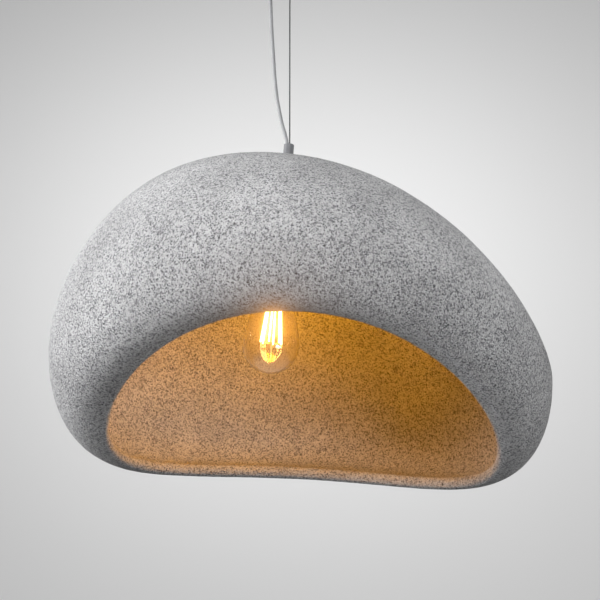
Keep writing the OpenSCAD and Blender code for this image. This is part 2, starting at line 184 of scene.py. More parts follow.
def sweep(line, radius, sides=8):
    """Points and faces of a round tube along a line of points, with both ends closed."""
    line = [Vector(p) for p in line]
    points, faces, last = [], [], len(line) - 1
    for i, centre in enumerate(line):
        along = (line[min(i + 1, last)] - line[max(i - 1, 0)]).normalized()
        side = along.cross(Vector((0, 1, 0))).normalized()
        other = side.cross(along)
        points += [centre + radius * (math.cos(2 * math.pi * k / sides) * side
                                      + math.sin(2 * math.pi * k / sides) * other) for k in range(sides)]
    for i in range(last):
        faces += [(i * sides + k, i * sides + (k + 1) % sides,
                   (i + 1) * sides + (k + 1) % sides, (i + 1) * sides + k) for k in range(sides)]
    return points, faces + [tuple(range(sides)), tuple(last * sides + k for k in range(sides))]


def joined(*shapes):
    """Several (points, faces) pairs as one."""
    points, faces = [], []
    for some_points, some_faces in shapes:
        faces += [tuple(len(points) + i for i in face) for face in some_faces]
        points += list(some_points)
    return points, faces


def solid(name, shape, place=UPRIGHT, scale=MM, sharp=35):
    """A mesh object with smooth faces and crisp edges, in metres, its normals pointing out."""
    mesh = bpy.data.meshes.new(name)
    mesh.from_pydata([place @ (Vector(p) * scale) for p in shape[0]], [], shape[1])
    work = bmesh.new()
    work.from_mesh(mesh)
    bmesh.ops.remove_doubles(work, verts=work.verts, dist=1e-7)
    bmesh.ops.dissolve_degenerate(work, edges=work.edges, dist=1e-8)
    bmesh.ops.recalc_face_normals(work, faces=work.faces)
    work.to_mesh(mesh)
    work.free()
    mesh.shade_smooth()
    mesh.set_sharp_from_angle(angle=math.radians(sharp))
    obj = bpy.data.objects.new(name, mesh)
    bpy.context.scene.collection.objects.link(obj)
    return obj


def shape_by(obj, cutter, operation):
    """Joins a solid to an object or cuts it away, and leaves one clean mesh."""
    change = obj.modifiers.new("shape", "BOOLEAN")
    change.operation, change.object, change.solver = operation, cutter, "MANIFOLD"
    bpy.context.view_layer.update()
    made = bpy.data.meshes.new_from_object(obj.evaluated_get(bpy.context.evaluated_depsgraph_get()))
    obj.modifiers.clear()
    obj.data = made
    bpy.data.objects.remove(cutter)


def finish_piece(obj, material, slot, body, *stands_for):
    """Gives a piece its material and its place in the assembly."""
    obj.data.materials.clear()
    obj.data.materials.append(material)
    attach(obj, body)
    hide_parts(*stands_for)
    print(obj.name, "rides on", body)


print("the lamp leans", round(math.degrees(LEAN), 1), "degrees")

# %% [markdown]
# ## Flex
# The supply flex is a round two-core cable in a plain extruded sheath. It leaves its clamp in the canopy,
# hangs down beside the wire and goes into the gland on the shade. A curve with a round bevel keeps its
# thickness exact, and its points repeat the route in the design. The sheath is soft PVC: a matt skin with
# faint drag lines along it from the extruder.

# %% Flex
FLEX_DIAMETER = 4.2


def lamp_point(x, h):
    """A place on the leaning lamp, given in its own millimetres."""
    return tuple((ON_LAMP @ Vector((x * MM, 0, h * MM))) / MM)


flex_route = [(-24, 0, -9.5), (-24, 0, -25), (-22.6, 0, -54), (-21.3, 0, -84), (-19.5, 0, -113),
              (-17.5, 0, -143), (-14.8, 0, -168), (-10, 0, -194), (-6.6, 0, -207), (-4.4, 0, -215),
              lamp_point(-2.4, 7), lamp_point(-2.4, -4), lamp_point(-1.5, -12), lamp_point(-0.5, -19),
              lamp_point(0, -28), lamp_point(0, -60), lamp_point(0, -104)]


def smooth_line(route, steps):
    """Points in metres on a smooth curve that passes through every point of the route."""
    p = [Vector(x) * MM for x in route]
    line = []
    for i in range(len(p) - 1):
        a, b, c, d = p[max(i - 1, 0)], p[i], p[i + 1], p[min(i + 2, len(p) - 1)]
        for k in range(steps):
            t = k / steps
            line.append(0.5 * (2 * b + (c - a) * t + (2 * a - 5 * b + 4 * c - d) * t ** 2
                               + (3 * b - a - 3 * c + d) * t ** 3))
    return line + [p[-1]]


def extruded_pvc():
    """Soft PVC sheath: mid grey, matt, with faint marks along its length."""
    material, shader, place = start_material("extruded_pvc_sheath", IOR=1.53, Roughness=0.5)
    stretched = add_node(material, "ShaderNodeMapping", {"Scale": (1, 1, 0.05)}, {"Vector": place})
    marks = add_node(material, "ShaderNodeTexNoise", {"Scale": per_metre(0.8), "Detail": 3.0},
                     {"Vector": stretched.outputs[0]})
    tint = add_node(material, "ShaderNodeValToRGB",
                    {"stops": [(0.3, linear("#77787A")), (0.7, linear("#8B8C8E"))]},
                    {"Fac": marks.outputs[0]})
    bump = add_node(material, "ShaderNodeBump", {"Strength": 0.35, "Distance": 0.05 * MM},
                    {"Height": marks.outputs[0]})
    connect(material, tint.outputs[0], shader.inputs["Base Color"])
    connect(material, bump.outputs[0], shader.inputs["Normal"])
    return material


flex_line = smooth_line(flex_route, 8)
flex_curve = bpy.data.curves.new("flex", "CURVE")
flex_curve.dimensions = "3D"
flex_curve.bevel_depth = FLEX_DIAMETER / 2 * MM
flex_curve.bevel_resolution = 6
flex_curve.use_fill_caps = True
spline = flex_curve.splines.new("POLY")
spline.points.add(len(flex_line) - 1)
for point, where in zip(spline.points, flex_line):
    point.co = (*where, 1.0)
flex = bpy.data.objects.new("flex", flex_curve)
bpy.context.scene.collection.objects.link(flex)
finish_piece(flex, extruded_pvc(), "flex_sheath", "pendant", "power_cord")

# %% [markdown]
# ## Room and lights
# The setting is a plain pale studio: a floor one storey below the ceiling that curves up into a wall all
# round, so the lamp has the same quiet background from every side. The strongest soft light stands on the
# left near the shade's height, weaker ones hang above and in front, and a low one on the right reaches
# into the shade. Faint ones behind it fill the shadows there. A lamp behind the shade brightens the wall.
# The paint glows a little itself, in place of the light that such a room returns.

# %% Room
FLOOR_Z = -2.4                       # a usual ceiling height below the canopy
WALL_RADIUS = 3.8
CURVE_RADIUS = 1.2
WALL_TOP = 3.0
FLAT_RADIUS = WALL_RADIUS - CURVE_RADIUS
room_outline = [(0.0, FLOOR_Z), (FLAT_RADIUS, FLOOR_Z)]
room_outline += arc(FLAT_RADIUS, FLOOR_Z + CURVE_RADIUS, CURVE_RADIUS, CURVE_RADIUS, -90, 0, 16)
room_outline += [(WALL_RADIUS, WALL_TOP), (WALL_RADIUS + 0.05, WALL_TOP),
                 (WALL_RADIUS + 0.05, FLOOR_Z - 0.05), (0.0, FLOOR_Z - 0.05)]
room = solid("studio_room", lathe(room_outline, 128), scale=1.0, sharp=60)
room_paint = start_material("emulsion_paint", IOR=1.5, Roughness=0.9, Base_Color=linear("#DADADA"),
                            Emission_Strength=0.09, Emission_Color=linear("#FFFFFF"))[0]
room.data.materials.append(room_paint)
room.visible_diffuse = False
room.visible_shadow = False


def aim(obj, where, at):
    """Puts a light somewhere and points it at a place."""
    obj.location = where
    obj.rotation_euler = (Vector(at) - Vector(where)).to_track_quat("-Z", "Y").to_euler()


SHADE_MIDDLE = (0.0, 0.0, -0.42)


def soft_light(name, where, size, watts):
    """A square white light aimed at the shade that isn't seen itself."""
    data = bpy.data.lights.new(name, "AREA")
    data.size, data.energy = size, watts
    light = bpy.data.objects.new(name, data)
    aim(light, where, SHADE_MIDDLE)
    light.visible_camera = False
    bpy.context.scene.collection.objects.link(light)


soft_light("left_light", (-2.1, -0.5, -0.15), 1.3, 94.0)
soft_light("top_light", (0.0, 0.0, 1.7), 1.8, 31.0)
soft_light("front_light", (0.0, -1.9, 1.0), 1.4, 27.0)
soft_light("low_light", (1.15, -1.8, -0.68), 0.8, 30.0)
soft_light("back_light", (-1.4, 1.5, 0.7), 1.4, 12.0)
soft_light("right_light", (2.0, 0.6, 0.0), 1.4, 6.0)
wall_data = bpy.data.lights.new("wall_light", "SPOT")
wall_data.energy, wall_data.spot_size, wall_data.spot_blend = 52.0, math.radians(165), 1.0
wall_data.shadow_soft_size = 0.02
wall_light = bpy.data.objects.new("wall_light", wall_data)
aim(wall_light, (0.0, 2.4, 0.4), (0.0, 3.8, 0.4))
bpy.context.scene.collection.objects.link(wall_light)
world = bpy.data.worlds.new("room_light")
world.use_nodes = True
world.node_tree.nodes["Background"].inputs["Color"].default_value = linear("#FFFFFF")
world.node_tree.nodes["Background"].inputs["Strength"].default_value = 0.05
bpy.context.scene.world = world
print("floor at", FLOOR_Z, "m")

# %% [markdown]
# ## Shade: shape
# The real shade is one shell of light moulded stone-and-resin mix, about 10 mm thick, laid up over a form,
# with its lower edge rolled inwards and a rounded lip. It could be sculpted, but its sections follow plain
# rules: a superellipse from the summit to the widest line, a tighter one rolled under, and a half circle at
# the lip. So the same rules as in the design make a fine mesh, where each ring goes all the way round. The
# figures are for the right, left, front and back, and are blended in between.

# %% Shade surface
HALF_WIDTH, HALF_DEPTH = 278.0, 250.0
MIDDLE = (12.0, -14.0)
SUMMIT = (-56.0, -2.0, -247.0)
WALL, LIP = 10.0, 8.0
SIDE_HEIGHT, RIM_RISE, RIM_BOW, RIM_SKEW = 335.0, 74.0, 55.0, 12.0
LOWER_ROUND = 2.2
SECTORS = 360
angle = np.linspace(0, 2 * np.pi, SECTORS, endpoint=False)
across, deep = np.cos(angle), np.sin(angle)


def around(right, left, front, back):
    """A figure blended round the shade from its four sides."""
    sideways = (right * (1 + across) + left * (1 - across)) / 2
    lengthways = (back * (1 + deep) + front * (1 - deep)) / 2
    return sideways * across ** 2 + lengthways * deep ** 2


rim_z = SUMMIT[2] - SIDE_HEIGHT - RIM_RISE * deep + RIM_BOW * deep ** 2 - RIM_SKEW * across
wide_z = rim_z + around(82, 91, 60, 50)
roll = around(54, 60, 44, 50)
upper_round = around(1.33, 1.7, 1.75, 1.5)


def wide(inset):
    """The widest line, moved in by some amount."""
    return np.stack([MIDDLE[0] + (HALF_WIDTH - inset) * across, MIDDLE[1] + (HALF_DEPTH - inset) * deep])


def upper_ring(share, inset):
    """A ring between the summit at 0 and the widest line at 1."""
    t = share * np.pi / 2
    rise = np.clip(np.cos(t), 0, 1) ** (2 / upper_round) if share < 1 else 0 * angle
    top = np.array(SUMMIT[:2])[:, None]
    flat = top + (wide(inset) - top) * np.sin(t)
    return np.column_stack([*flat, wide_z + (SUMMIT[2] - inset - wide_z) * rise])


def lower_ring(share, inset, lift):
    """A ring of the rolled-under edge, between the widest line at 0 and the rim at 1."""
    t = share * np.pi / 2
    out = np.cos(t) ** (2 / LOWER_ROUND) if share < 1 else 0.0
    down = 1 - np.sin(t) ** (2 / LOWER_ROUND)
    rim = wide(roll)
    base = rim_z + lift
    return np.column_stack([*(rim + (wide(inset) - rim) * out), base + (wide_z - base) * down])


def lip_ring(share):
    """A ring of the rounded lip, from its foot at 0 to its top at 1."""
    t = (share - 0.5) * np.pi
    return np.column_stack([*wide(roll + LIP * np.cos(t)), rim_z + LIP + LIP * np.sin(t)])


def shade_rings(upper=96, lower=40, lip=14):
    """Every ring of the shell: down its outside, round the lip and up its inside."""
    rings = [upper_ring(i / upper, 0) for i in range(1, upper + 1)]
    rings += [lower_ring(i / lower, 0, 0) for i in range(1, lower + 1)]
    rings += [lip_ring(i / lip) for i in range(1, lip)]
    rings += [lower_ring(i / lower, WALL, 2 * LIP) for i in range(lower, 0, -1)]
    return rings + [upper_ring(i / upper, WALL) for i in range(upper * 4 // 5, 0, -1)]


rings = shade_rings()
shade_points = np.concatenate([*rings, [SUMMIT], [(SUMMIT[0], SUMMIT[1], SUMMIT[2] - WALL)]])
index = np.arange(len(rings) * SECTORS).reshape(len(rings), SECTORS)
turned = np.roll(index, -1, axis=1)
quads = np.stack([index[:-1], index[1:], turned[1:], turned[:-1]], axis=-1).reshape(-1, 4)
top, inner_top = len(shade_points) - 2, len(shade_points) - 1
caps = [(top, int(a), int(b)) for a, b in zip(index[0], turned[0])]
caps += [(inner_top, int(b), int(a)) for a, b in zip(index[-1], turned[-1])]
shade = solid("stone_shade", (shade_points.tolist(), quads.tolist() + caps))
print("shade mesh:", len(shade.data.polygons), "faces")

# %% [markdown]
# ## Shade: trowelled surface and metal seat
# The coat is put on by hand, so the shell isn't perfectly even: lumps about a centimetre across, and a slower
# wander of the surface. These are real moves of the mesh, a few tenths of a millimetre along its normals.
# Then the seat for the gland washer is spot-faced on top, the boss for the support plate is added inside, and
# the hole for the threaded tube goes through both. Solid cuts are made after the lumps, so machined faces
# stay flat.

# %% Lumps, boss and holes
count = len(shade.data.vertices)
places, normals = np.zeros(count * 3), np.zeros(count * 3)
shade.data.vertices.foreach_get("co", places)
shade.data.vertex_normals.foreach_get("vector", normals)
places, normals = places.reshape(-1, 3), normals.reshape(-1, 3)
LUMP, WANDER = 9.0, 55.0             # sizes of the lumps and of the slow wander, in mm
lumps = np.array([noise.noise(Vector(p) * per_metre(LUMP)) for p in places])
wander = np.array([noise.noise(Vector(p) * per_metre(WANDER)) for p in places])
places -= normals * ((0.35 * (1 + lumps) + 0.5 * (1 + wander)) * 0.5 * MM)[:, None]
shade.data.vertices.foreach_set("co", places.ravel())
shade.data.update()

SEAT, BOSS_LOW, BOSS_TOP = -23.0, -37.0, -24.5
boss_outline = [(0, BOSS_LOW), *arc(25, BOSS_LOW + 1, 1, 1, -90, 0, 4), (26, -32),
                *arc(33, -32, 7, 6, 180, 90, 6), (33, BOSS_TOP), (0, BOSS_TOP)]
boss = solid("boss", lathe(boss_outline), ON_LAMP)
seat_cut = solid("seat_cut", lathe([(0, SEAT), (10.5, SEAT), (10.9, SEAT + 20), (0, SEAT + 20)]), ON_LAMP)
tube_cut = solid("tube_cut", lathe([(0, -60), (5.05, -60), (5.05, SEAT + 5), (0, SEAT + 5)], 48), ON_LAMP)
shape_by(shade, boss, "UNION")
shape_by(shade, seat_cut, "DIFFERENCE")
shape_by(shade, tube_cut, "DIFFERENCE")
shade.data.shade_smooth()
shade.data.set_sharp_from_angle(angle=math.radians(40))
print("shade after cutting:", len(shade.data.polygons), "faces")

# %% [markdown]
# ## Shade: stone coat
# The finish is a sprayed mineral plaster in a matt resin, like very coarse sandpaper: grains under 2 mm
# across packed close, with pits between them. The relief comes from a noise of the grains' own size,
# and the same noise paints shade into the pits and a faint highlight onto the grain tops. A cell pattern
# gives single grains their own lighter or darker stone, and a slow mottle stops the grey from looking printed.

# %% Stone coat
GRAIN = 1.7                          # size of one grain, in mm
MOTTLE = 70                          # size of the slow mottle, in mm
RELIEF = 5.0                         # relief over the noise's whole range, in mm; most of it uses half


def stone_coat():
    """Sprayed stone plaster: matt, grainy and pitted, with painted shade in its pits and a painted highlight
    on its grains.
    """
    material, shader, place = start_material("stone_plaster_coat", IOR=1.5, Roughness=0.88)
    shader.inputs["Specular IOR Level"].default_value = 0.35
    lumps = add_node(material, "ShaderNodeTexNoise", {"Scale": per_metre(GRAIN), "Detail": 2.0,
                                                      "Roughness": 0.65}, {"Vector": place})
    chips = add_node(material, "ShaderNodeTexVoronoi", {"Scale": per_metre(GRAIN)}, {"Vector": place})
    mottle = add_node(material, "ShaderNodeTexNoise", {"Scale": per_metre(MOTTLE), "Detail": 4.0},
                      {"Vector": place})
    # painted shade and painted highlight: the colour follows the relief noise, dark in its pits and a little
    # lighter on the grain tops
    pit_shade_tints = [(0.34, linear("#4A4A4D")), (0.42, linear("#BEBEBF")), (0.66, linear("#DEDEDF"))]
    painted_pit_shade = add_node(material, "ShaderNodeValToRGB", {"stops": pit_shade_tints}, {"Fac": lumps.outputs[0]})
    specks = add_node(material, "ShaderNodeValToRGB",
                      {"stops": [(0.15, linear("#A5A5A8")), (0.5, linear("#F4F4F4"))]},
                      {"Fac": chips.outputs["Color"]})
    slow = add_node(material, "ShaderNodeValToRGB",
                    {"stops": [(0.3, linear("#E4E4E4")), (0.7, linear("#FFFFFF"))]},
                    {"Fac": mottle.outputs[0]})
    # the grains' own light and dark stone, multiplied by the painted shade of the pits
    specks_and_pit_shade = add_node(material, "ShaderNodeMix", {"data_type": "RGBA", "blend_type": "MULTIPLY", 0: 1.0},
                        {6: painted_pit_shade.outputs[0], 7: specks.outputs[0]})
    tint = add_node(material, "ShaderNodeMix", {"data_type": "RGBA", "blend_type": "MULTIPLY", 0: 1.0},
                    {6: specks_and_pit_shade.outputs[2], 7: slow.outputs[0]})
    bump = add_node(material, "ShaderNodeBump", {"Strength": 1.0, "Distance": RELIEF * MM},
                    {"Height": lumps.outputs[0]})
    connect(material, tint.outputs[2], shader.inputs["Base Color"])
    connect(material, bump.outputs[0], shader.inputs["Normal"])
    return material


finish_piece(shade, stone_coat(), "stone_coat", "pendant", "shade_shell")

# %% [markdown]
# ## Metals and plastics
# The fittings share a few real finishes. Steel and brass differ in tint and in the direction of their fine
# tool marks; moulded plastics differ in colour, gloss and the grain of the mould. Two short functions
# make them from those figures, and each result is named for the finish that it is.

# %% Metal and plastic finishes
def worked_metal(name, light, dark, roughness, marks_mm, stretch):
    """Bare or plated metal with fine tool marks, longer along the axes where stretch is small."""
    material, shader, place = start_material(name, Metallic=1.0)
    drawn = add_node(material, "ShaderNodeMapping", {"Scale": stretch}, {"Vector": place})
    marks = add_node(material, "ShaderNodeTexNoise", {"Scale": per_metre(marks_mm), "Detail": 4.0},
                     {"Vector": drawn.outputs[0]})
    tint = add_node(material, "ShaderNodeValToRGB", {"stops": [(0.3, linear(dark)), (0.75, linear(light))]},
                    {"Fac": marks.outputs[0]})
    gloss = add_node(material, "ShaderNodeMapRange", {"To Min": roughness - 0.08, "To Max": roughness + 0.1},
                     {"Value": marks.outputs[0]})
    bump = add_node(material, "ShaderNodeBump", {"Strength": 0.25, "Distance": 0.04 * MM},
                    {"Height": marks.outputs[0]})
    connect(material, tint.outputs[0], shader.inputs["Base Color"])
    connect(material, gloss.outputs[0], shader.inputs["Roughness"])
    connect(material, bump.outputs[0], shader.inputs["Normal"])
    return material


def moulded(name, light, dark, roughness, grain_mm, depth_mm, ior=1.5):
    """Moulded or sprayed surface with a fine grain and a slow change of tint."""
    material, shader, place = start_material(name, IOR=ior)
    grain = add_node(material, "ShaderNodeTexNoise", {"Scale": per_metre(grain_mm), "Detail": 3.0},
                     {"Vector": place})
    slow = add_node(material, "ShaderNodeTexNoise", {"Scale": per_metre(14), "Detail": 2.0},
                    {"Vector": place})
    tint = add_node(material, "ShaderNodeValToRGB", {"stops": [(0.3, linear(dark)), (0.7, linear(light))]},
                    {"Fac": slow.outputs[0]})
    gloss = add_node(material, "ShaderNodeMapRange", {"To Min": roughness - 0.06, "To Max": roughness + 0.08},
                     {"Value": grain.outputs[0]})
    bump = add_node(material, "ShaderNodeBump", {"Strength": 0.4, "Distance": depth_mm * MM},
                    {"Height": grain.outputs[0]})
    connect(material, tint.outputs[0], shader.inputs["Base Color"])
    connect(material, gloss.outputs[0], shader.inputs["Roughness"])
    connect(material, bump.outputs[0], shader.inputs["Normal"])
    return material


EVEN, DRAWN, TURNED = (1, 1, 1), (1, 1, 0.08), (0.15, 0.15, 1)
powder_paint = moulded("powder_coat_paint", "#A9A9AB", "#A0A0A3", 0.5, 0.6, 0.06)
zinc_plate = worked_metal("bright_zinc_plate", "#C9CCCF", "#AEB2B6", 0.34, 2.2, EVEN)
turned_steel = worked_metal("turned_mild_steel", "#BDBEC0", "#98999C", 0.3, 0.5, TURNED)
screw_steel = worked_metal("zinc_passivated_screw_steel", "#B4B5B8", "#8F9093", 0.33, 0.6, TURNED)
rope_steel = worked_metal("galvanised_rope_wire", "#4A4B4E", "#2C2D30", 0.42, 0.4, DRAWN)
brass = worked_metal("stamped_brass", "#D8B36A", "#B48C45", 0.3, 0.8, EVEN)
solder = worked_metal("tin_solder", "#C4C4C4", "#9B9B9C", 0.28, 1.2, EVEN)
nickel_plate = worked_metal("nickel_plated_brass", "#CFCBC2", "#B3AEA4", 0.22, 0.7, TURNED)
nickel_wire = worked_metal("nickel_wire", "#B9B4A9", "#8E897F", 0.3, 0.5, DRAWN)
grey_nylon = moulded("grey_moulded_nylon", "#6B6B6E", "#5F5F62", 0.55, 0.5, 0.04)
white_nylon = moulded("natural_moulded_nylon", "#E6E3D8", "#D9D5C8", 0.42, 0.5, 0.03)
grey_rubber = moulded("grey_rubber", "#5F5F61", "#545456", 0.7, 0.4, 0.05, 1.52)
gland_plastic = moulded("grey_moulded_polyamide", "#626366", "#57585B", 0.42, 0.5, 0.03)
holder_plastic = moulded("black_phenolic_moulding", "#2A2A2B", "#1E1E1F", 0.4, 0.6, 0.04, 1.6)
steatite = moulded("fired_steatite", "#E9E4D6", "#DAD3C3", 0.35, 0.9, 0.03, 1.6)
lead_insulation = moulded("brown_core_insulation", "#6E4526", "#5E3A1F", 0.4, 0.5, 0.02)
black_glass = moulded("black_cap_glass", "#0D0D0F", "#070708", 0.14, 1.0, 0.02, 1.52)
circuit_board = moulded("green_solder_mask", "#245A38", "#1A472B", 0.35, 0.8, 0.03, 1.55)
print(len(bpy.data.materials), "materials so far")

# %% [markdown]
# ## Fittings that keep their CAD shape
# Plates, nuts, screws, washers, clamps and terminals already have their real shape in the frame. Each gets its
# finish, and all but the leads and the filament frame get a small rounding on their edges, because a real edge
# is never perfectly sharp and catches the light. The rounding is a modifier, so the CAD mesh itself stays as
# it is.

# %% Finishes of the CAD fittings
finishes = {
    "ceiling_plate": zinc_plate, "canopy_screws": screw_steel, "canopy_bushing": grey_nylon,
    "cord_grommet": grey_rubber, "hanger_body": turned_steel, "hanger_screws": screw_steel,
    "hanger_seat": white_nylon, "wire_ball": turned_steel, "cord_clamp": white_nylon,
    "cord_clamp_screws": screw_steel, "terminal_block": white_nylon, "terminal_lugs": brass,
    "terminal_fixings": screw_steel, "terminal_screws": brass, "canopy_leads": lead_insulation,
    "earth_screw": brass, "earth_washer": brass, "wire_anchor": turned_steel, "wire_sleeve": brass,
    "gland_washer": turned_steel, "support_plate": zinc_plate, "plate_screws": screw_steel,
    "lock_washer": screw_steel, "plate_nut": turned_steel, "holder_nut": turned_steel,
    "holder_cord_grip": white_nylon, "holder_leads": lead_insulation, "holder_terminals": brass,
    "holder_terminal_screws": screw_steel, "holder_insert": steatite, "holder_contact": brass,
    "bulb_contact": solder, "bulb_insulator": black_glass, "bulb_driver": circuit_board,
    "filament_frame": nickel_wire}
ROUNDING = 0.2                       # edge rounding in mm
for name, material in finishes.items():
    node = nodes[name]
    node.data.materials.clear()
    node.data.materials.append(material)
    if name in ("canopy_leads", "filament_frame"):
        continue
    weld = node.modifiers.new("weld", "WELD")
    weld.merge_threshold = 0.001 * MM
    rounded = node.modifiers.new("rounded_edges", "BEVEL")
    rounded.width = ROUNDING * MM
    rounded.segments = 2
    rounded.limit_method = "ANGLE"
    rounded.angle_limit = math.radians(40)
print(len(finishes), "CAD fittings finished")

# %% [markdown]
# ## Canopy
# The ceiling canopy is a shallow cup spun from 1.2 mm steel and powder coated to match the shade. Its lower
# edge is rolled to a 3 mm radius, which a lathe outline draws as true arcs. Cuts make the hole for the
# flex and the two keyhole slots for the side screws.

# %% Canopy
CANOPY_R, CANOPY_LOW, SHEET = 55.0, -25.0, 1.2
INSIDE_R = CANOPY_R - SHEET
canopy_outline = [(6, CANOPY_LOW), *arc(CANOPY_R - 3, CANOPY_LOW + 3, 3, 3, -90, 0), (CANOPY_R, -0.8),
                  (CANOPY_R - 0.3, -0.5), (INSIDE_R + 0.3, -0.5), (INSIDE_R, -0.8),
                  *arc(CANOPY_R - 3, CANOPY_LOW + 3, 3 - SHEET, 3 - SHEET, 0, -90), (6, CANOPY_LOW + SHEET)]
canopy = solid("spun_canopy", lathe(canopy_outline, 160))
flex_hole = lathe([(0, -30), (5.5, -30), (5.5, -20), (0, -20)], 48)
at_flex = Matrix.Translation((flex_route[0][0] * MM, 0, 0))
shape_by(canopy, solid("flex_hole", flex_hole, at_flex), "DIFFERENCE")
for side in (-1, 1):
    at_screw = Matrix.Translation((side * CANOPY_R * MM, 0, -9 * MM))
    sideways = at_screw @ Matrix.Rotation(math.pi / 2, 4, "Y")
    keyhole = lathe([(0, -4), (2.4, -4), (2.4, 4), (0, 4)], 48)
    shape_by(canopy, solid("keyhole", keyhole, sideways), "DIFFERENCE")
    slot = ([(x, y, z) for x in (-4, 4) for y in (-2.4, 2.4) for z in (0, 12)],
            [(0, 1, 3, 2), (4, 6, 7, 5), (0, 4, 5, 1), (2, 3, 7, 6), (0, 2, 6, 4), (1, 5, 7, 3)])
    shape_by(canopy, solid("slot", slot, at_screw), "DIFFERENCE")
canopy.data.shade_smooth()
canopy.data.set_sharp_from_angle(angle=math.radians(40))
finish_piece(canopy, powder_paint, "canopy_paint", "canopy", "canopy")

# %% [markdown]
# ## Wire rope
# The lamp hangs on a rope of 1.5 mm galvanised steel: six strands laid round a straight one. A plain rod would
# look like a pin, so each strand is its own round tube along a helix, one turn in about 9 mm.

# %% Wire rope
ROPE_TOP, ROPE_LOW, STRAND, LAY = -14.0, -240.0, 0.25, 9.0


def strand(number):
    """One strand: the straight core is number 0, and the others wind round it."""
    steps = int((ROPE_TOP - ROPE_LOW) / 0.75)
    line = []
    for i in range(steps + 1):
        z = ROPE_TOP + (ROPE_LOW - ROPE_TOP) * i / steps
        turn = 2 * math.pi * (z / LAY + number / 6)
        off = 0 if number == 0 else 2 * STRAND
        line.append((off * math.cos(turn), off * math.sin(turn), z))
    return sweep(line, STRAND, 6)


rope = solid("wire_rope", joined(*[strand(i) for i in range(7)]))
finish_piece(rope, rope_steel, "wire_rope_steel", "pendant", "suspension_wire")

# %% [markdown]
# ## Gland and threaded tube
# The flex and the wire go into a small moulded gland on top of the shade. It is a turned form with a softened
# mouth and a flange with fine grip ribs. The tube under it is M10 lamp tube with a 1 mm pitch, whose
# thread is real: the radius follows a screw line all the way down.

# %% Gland and threaded tube
def grip_ribs(turned_angle, radius, height):
    """Fine ribs round the gland's flange only."""
    return -0.18 * (1 + math.cos(36 * turned_angle)) if radius > 6.6 and -21.2 < height < -16.6 else 0.0


gland_outline = [*arc(5.1, 6.6, 0.4, 0.4, 180, 90, 4), *arc(4.9, 6.0, 1.0, 1.0, 90, 0, 6), (5.9, -15.4),
                 (6.6, -16.2), (7, -16.6), (7, -18), (7, -20), (7, -21.1), (6.7, -21.5), (5, -21.5),
                 (5, -4), (4.7, -4)]
gland = solid("gland", lathe(gland_outline, 144, grip_ribs), ON_LAMP)
finish_piece(gland, gland_plastic, "gland_plastic", "pendant", "gland_cap")

TUBE_R, BORE_R, PITCH, THREAD = 5.0, 3.75, 1.0, 0.45


def screw_line(turned_angle, radius, height):
    """A rounded M10 thread on the outside of the tube."""
    if radius < TUBE_R:
        return 0.0
    return -THREAD * (0.5 + 0.5 * math.cos(2 * math.pi * height / PITCH + turned_angle))


tube_outline = [(TUBE_R, -12 - i * PITCH / 6) for i in range(int(87 * 6) + 1)]
tube_outline += [(BORE_R, -99), (BORE_R, -12)]
tube = solid("threaded_lamp_tube", lathe(tube_outline, 36, screw_line), ON_LAMP, sharp=60)
finish_piece(tube, zinc_plate, "turned_steel", "pendant", "threaded_tube")

# %% [markdown]
# ## Bulb holder
# The holder is a black phenolic moulding in two parts that screw together: a domed cap on the threaded tube
# and a body with shallow finger ribs. Inside it a brass screw shell takes the bulb. Its round thread has a
# pitch of about 3.6 mm, made in the same way as the tube's thread.

# %% Bulb holder
holder_top_outline = [(5, -91), (11, -91), *arc(11, -100.5, 9, 9.5, 90, 0, 12), (20, -107.4), (19.6, -108),
                      (17.8, -108), (17.8, -101), *arc(10, -101, 7.8, 7.4, 0, 90, 8), (8, -93.6),
                      (8, -99), (5, -99)]
holder_top = solid("holder_dome", lathe(holder_top_outline, 128), ON_LAMP)
finish_piece(holder_top, holder_plastic, "holder_plastic", "pendant", "holder_cap")


def finger_ribs(turned_angle, radius, height):
    """Shallow grooves round the upper half of the holder's body."""
    return -0.3 * max(0.0, math.cos(24 * turned_angle)) if radius > 19 and -121.5 < height < -110 else 0.0


holder_low_outline = [(17.8, -108), (19.6, -108), (20, -108.4), (20, -110), (20, -110.5), (20, -116),
                      (20, -121), (20, -122), *arc(20.6, -124, 1.4, 1.4, 150, 190, 4), (19.2, -144),
                      (19.9, -145), *arc(19.4, -146.4, 0.6, 0.6, 0, -90, 4),
                      *arc(15.6, -146.4, 0.6, 0.6, -90, -180, 4),
                      (15, -117), (17.8, -117)]
holder_low = solid("holder_body_moulding", lathe(holder_low_outline, 192, finger_ribs), ON_LAMP)
finish_piece(holder_low, holder_plastic, "holder_plastic", "pendant", "holder_body")

BULB_PITCH = 3.63                    # thread pitch of the bulb and its shell, in mm
THREAD_DEPTH = 0.7                   # depth of that thread, in mm


def bulb_thread(turned_angle, height):
    """The round thread that the bulb and the shell share, from 0 at its crest to 1 in its groove."""
    return 0.5 + 0.5 * math.cos(2 * math.pi * height / BULB_PITCH + turned_angle)


def shell_wave(turned_angle, radius, height):
    """The shell bulges outwards along the thread."""
    return THREAD_DEPTH * bulb_thread(turned_angle, height)


shell_heights = [-117 - 25 * i / 100 for i in range(101)]
shell_outline = [(14.1, h) for h in shell_heights] + [(13.75, h) for h in reversed(shell_heights)]
shell = solid("holder_brass_shell", lathe(shell_outline, 72, shell_wave), ON_LAMP, sharp=60)
finish_piece(shell, brass, "brass_parts", "pendant", "holder_screw_shell")

# %% [markdown]
# ## Bulb cap and glass
# The cap is thin nickel-plated brass with the matching round thread. The glass is clear blown soda-lime
# glass, under a millimetre thick, wide near its foot and round at the tip. Both skins of the glass are
# modelled, so it bends light at its edges as real thin glass does. Light from inside should pass
# through it without noise, so the glass throws no shadow.

# %% Bulb cap
GLASS_TOP, BULB_TIP, BULB_WIDE = -142.0, -260.0, -229.0


def cap_wave(turned_angle, radius, height):
    """The cap's wall draws in along the thread, below its plain collar."""
    return -THREAD_DEPTH * bulb_thread(turned_angle, height) if height < -127.5 else 0.0


